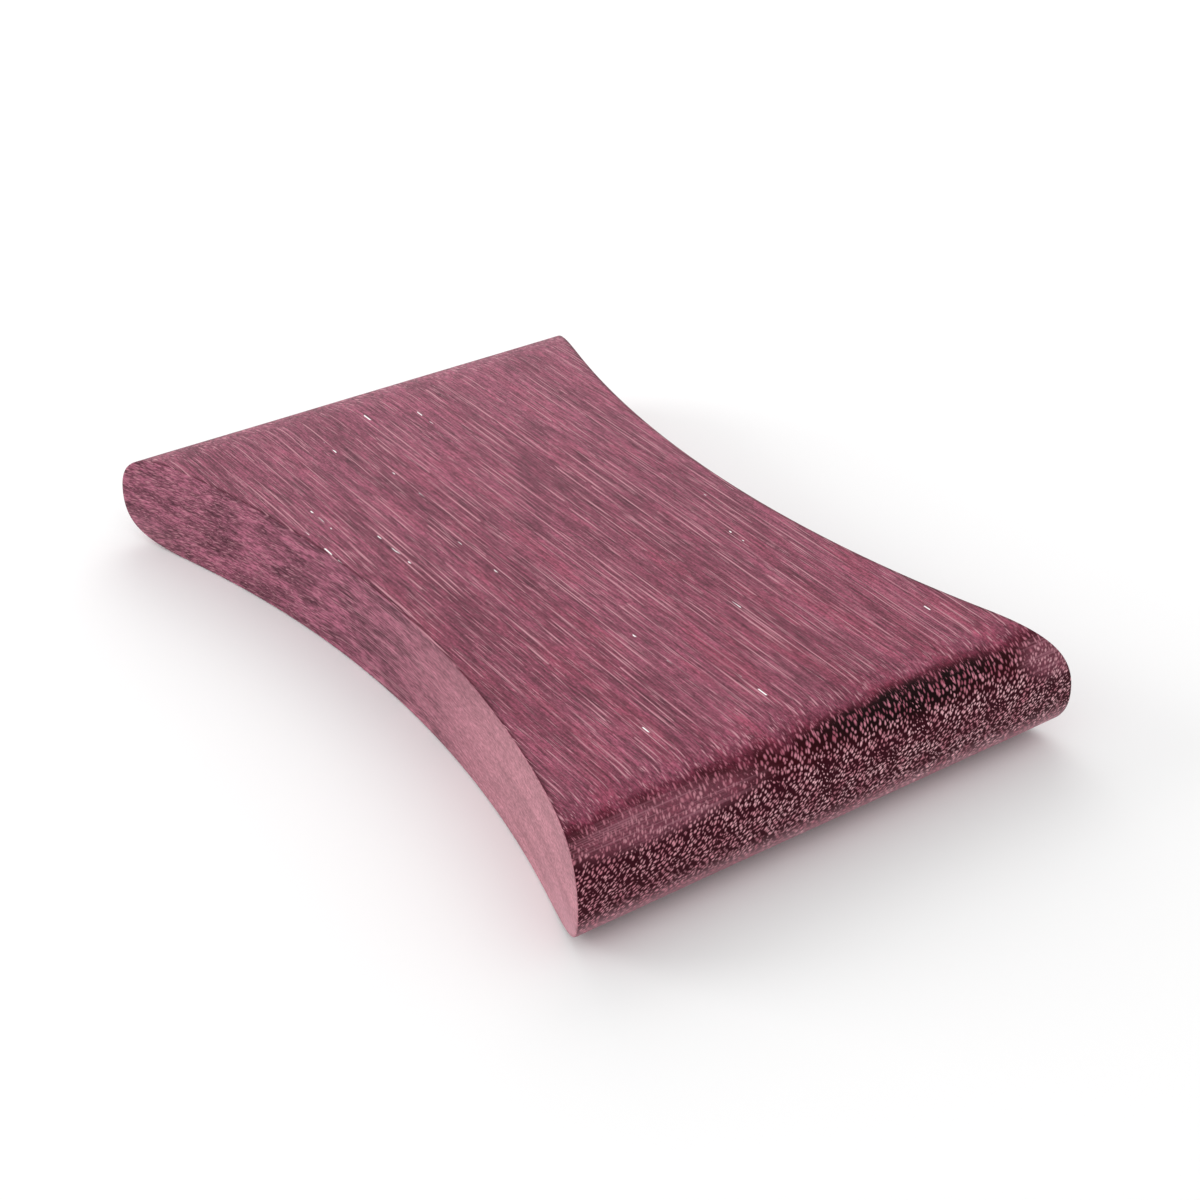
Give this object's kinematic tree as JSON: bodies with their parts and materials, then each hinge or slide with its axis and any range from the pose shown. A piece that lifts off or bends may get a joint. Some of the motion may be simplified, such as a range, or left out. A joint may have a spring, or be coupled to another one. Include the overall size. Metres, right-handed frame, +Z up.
{
  "type": "violin shoulder rest block",
  "caption": "Solid purpleheart shoulder rest block: a flat slab with hollowed long sides and full rounded ends.",
  "frame": {"origin": "centre of the lower flat face, on the surface that the block rests on", "axes": "+Z up, out of the upper flat face; Y along the block and along the grain; X across it; -Y is the end nearest the viewer"},
  "size_m": [0.0656, 0.1, 0.0127],
  "materials": {
    "purpleheart": "oiled purpleheart, satin, grain along Y, open end-grain pores on both rounded ends"
  },
  "bodies": {
    "root": {"rest_block": "purpleheart"}
  },
  "joints": []
}
